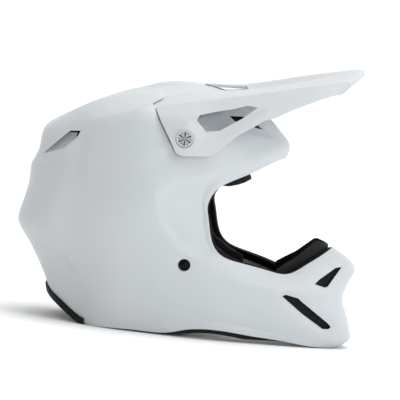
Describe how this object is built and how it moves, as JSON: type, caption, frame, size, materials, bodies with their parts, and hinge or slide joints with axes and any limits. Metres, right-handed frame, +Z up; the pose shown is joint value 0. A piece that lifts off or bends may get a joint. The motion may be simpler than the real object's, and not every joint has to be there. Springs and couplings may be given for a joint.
{
  "type": "motocross helmet",
  "caption": "Full-face off-road helmet with a pointed chin bar, wide eyeport, tilting peaked visor, padded liner and ring-closed chin strap.",
  "frame": {"origin": "on the floor plane the helmet stands on, at the middle of the bounding box in plan", "axes": "+X forward to the chin, +Y to the wearer's left, +Z up"},
  "size_m": [0.3608, 0.2454, 0.2919],
  "materials": {
    "shell_white": "satin",
    "visor_white": "satin",
    "rubber_black": "matte",
    "foam_dark": "matte beaded foam",
    "liner_plastic": "satin",
    "comfort_fabric": "knitted",
    "black_plastic": "matte",
    "webbing": "woven",
    "ring_steel": "brushed",
    "anchor_black": "matte",
    "screw_plastic": "satin",
    "nut_metal": "machined",
    "mesh_black": "matte"
  },
  "bodies": {
    "helmet": {"outer_shell": "shell_white", "eyeport_trim": "rubber_black", "bottom_trim": "rubber_black", "rear_bumper": "rubber_black", "nose_guard": "rubber_black", "crown_foam": "foam_dark", "chin_foam": "foam_dark", "cheek_pad_right": "comfort_fabric", "cheek_pad_left": "comfort_fabric", "neck_roll": "comfort_fabric", "cheek_plate_right": "black_plastic", "cheek_plate_left": "black_plastic", "strap_right": "webbing", "strap_left": "webbing", "strap_snap": "black_plastic", "strap_anchor_right": "anchor_black", "strap_anchor_left": "anchor_black", "visor_nut_right": "nut_metal", "visor_nut_left": "nut_metal", "brow_mesh_right": "mesh_black", "brow_mesh_left": "mesh_black", "exhaust_mesh_right": "mesh_black", "exhaust_mesh_left": "mesh_black", "chin_slot_mesh_right": "mesh_black", "chin_slot_mesh_left": "mesh_black", "chin_vent_mesh_right": "mesh_black", "chin_vent_mesh_left": "mesh_black"},
    "visor_body": {"visor": "visor_white"},
    "screw_right_body": {"visor_screw_right": "screw_plastic"},
    "screw_left_body": {"visor_screw_left": "screw_plastic"},
    "ring_upper_body": {"strap_ring_upper": "ring_steel"},
    "ring_lower_body": {"strap_ring_lower": "ring_steel"},
    "liner_body": {"slip_liner": "liner_plastic", "crown_pad": "comfort_fabric", "brow_pad": "comfort_fabric"}
  },
  "joints": [
    {"name": "visor_tilt", "type": "hinge", "parent": "helmet", "child": "visor_body", "pos_m": [-0.0101, 0, 0.2023], "axis": [0, -1, 0], "range_deg": [-3, 2.5]},
    {"name": "screw_right_turn", "type": "hinge", "parent": "helmet", "child": "screw_right_body", "pos_m": [-0.0101, 0, 0.2023], "axis": [0, 1, 0], "range_deg": [-360, 360]},
    {"name": "screw_left_turn", "type": "hinge", "parent": "helmet", "child": "screw_left_body", "pos_m": [-0.0101, 0, 0.2023], "axis": [0, 1, 0], "range_deg": [-360, 360]},
    {"name": "ring_upper_swing", "type": "hinge", "parent": "helmet", "child": "ring_upper_body", "pos_m": [0.0036, -0.024, 0.0263], "axis": [1, 0, 0], "range_deg": [0, 70]},
    {"name": "ring_lower_swing", "type": "hinge", "parent": "helmet", "child": "ring_lower_body", "pos_m": [0.0036, -0.024, 0.0223], "axis": [1, 0, 0], "range_deg": [-45, 0]},
    {"name": "liner_slip", "type": "hinge", "parent": "helmet", "child": "liner_body", "pos_m": [-0.035, 0, 0.125], "axis": [0, 0, 1], "range_deg": [-3, 3]}
  ]
}
